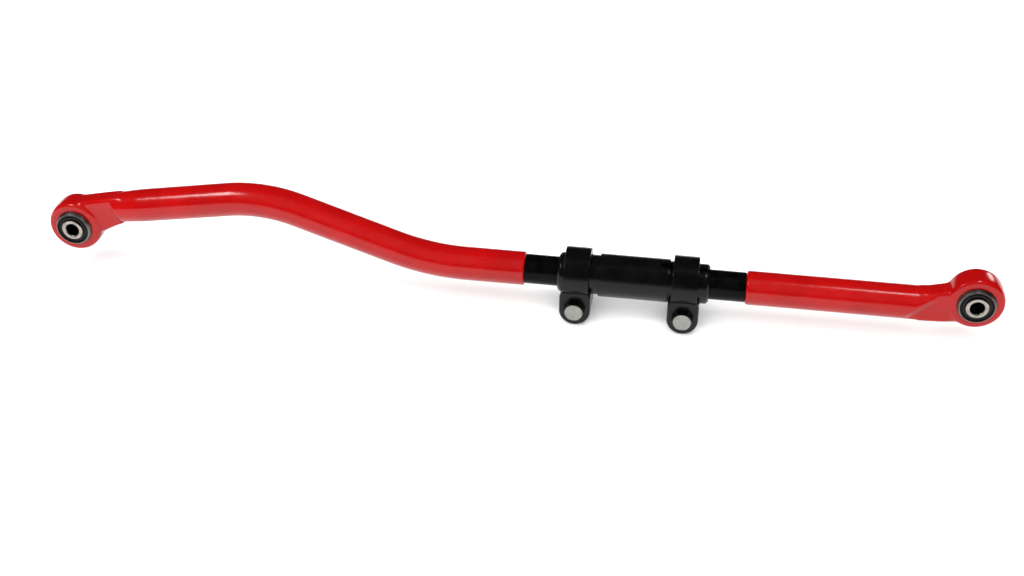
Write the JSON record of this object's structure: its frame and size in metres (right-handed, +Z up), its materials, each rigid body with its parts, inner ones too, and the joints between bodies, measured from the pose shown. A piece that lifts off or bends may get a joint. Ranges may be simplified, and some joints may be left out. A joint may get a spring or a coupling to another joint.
{
  "type": "adjustable track bar",
  "caption": "Bent forged bar with a rubber-bushed eye at each end and a threaded adjuster sleeve held by pinch clamps.",
  "frame": {"origin": "bottom centre of the bounding box: under the middle of the bar, on the surface that the clamp ears stand on, midway in Y between bolt heads and bolt tips", "axes": "+X along the level part of the bar from the long arm's eye to the short arm's eye, +Y along the eye holes away from the clamp bolts' heads, +Z up"},
  "size_m": [0.9878, 0.0776, 0.1192],
  "materials": {
    "red_coat": "glossy red powder coat over a forging",
    "black_coat": "glossy black dip coat",
    "black_stud": "glossy black on turned steel",
    "zinc_plate": "dull bright zinc plate",
    "shell_steel": "grey phosphated steel with a rolled lip",
    "core_steel": "turned bare steel, slightly warm",
    "black_rubber": "moulded matt black rubber"
  },
  "bodies": {
    "long_arm_body": {"long_arm": "red_coat", "long_arm_stud": "black_stud", "bushing_shell_left": "shell_steel", "bushing_rubber_left": "black_rubber"},
    "clamp_carriage": {"clamp_left": "black_coat", "clamp_right": "black_coat", "clamp_bolt_left": "zinc_plate", "clamp_bolt_right": "zinc_plate", "flat_washer_left": "zinc_plate", "flat_washer_right": "zinc_plate", "lock_washer_left": "zinc_plate", "lock_washer_right": "zinc_plate", "clamp_nut_left": "zinc_plate", "clamp_nut_right": "zinc_plate"},
    "sleeve_body": {"adjuster_sleeve": "black_coat"},
    "short_arm_body": {"short_arm": "red_coat", "short_arm_stud": "black_stud", "bushing_shell_right": "shell_steel", "bushing_rubber_right": "black_rubber"},
    "left_core_body": {"bushing_core_left": "core_steel"},
    "right_core_body": {"bushing_core_right": "core_steel"}
  },
  "joints": [
    {"name": "sleeve_travel", "type": "slide", "parent": "long_arm_body", "child": "clamp_carriage", "axis": [1, 0, 0], "range_m": [-0.0166, 0.0206]},
    {"name": "sleeve_turn", "type": "hinge", "parent": "clamp_carriage", "child": "sleeve_body", "pos_m": [0, -0.00445, 0.0466], "axis": [1, 0, 0], "range_deg": [-2970, 3690]},
    {"name": "short_arm_travel", "type": "slide", "parent": "long_arm_body", "child": "short_arm_body", "axis": [1, 0, 0], "range_m": [-0.0332, 0.0412]},
    {"name": "left_core_twist", "type": "hinge", "parent": "long_arm_body", "child": "left_core_body", "pos_m": [-0.4655, -0.00445, 0.0576], "axis": [0, 1, 0], "range_deg": [-15, 15], "stiffness_Nm_per_rad": 60},
    {"name": "right_core_twist", "type": "hinge", "parent": "short_arm_body", "child": "right_core_body", "pos_m": [0.4655, -0.00445, 0.0576], "axis": [0, 1, 0], "range_deg": [-15, 15], "stiffness_Nm_per_rad": 60}
  ],
  "couplings": [
    {"joint": "sleeve_travel", "follows": "sleeve_turn", "m_per_rad": 0.00031831},
    {"joint": "short_arm_travel", "follows": "sleeve_turn", "m_per_rad": 0.00063662}
  ]
}
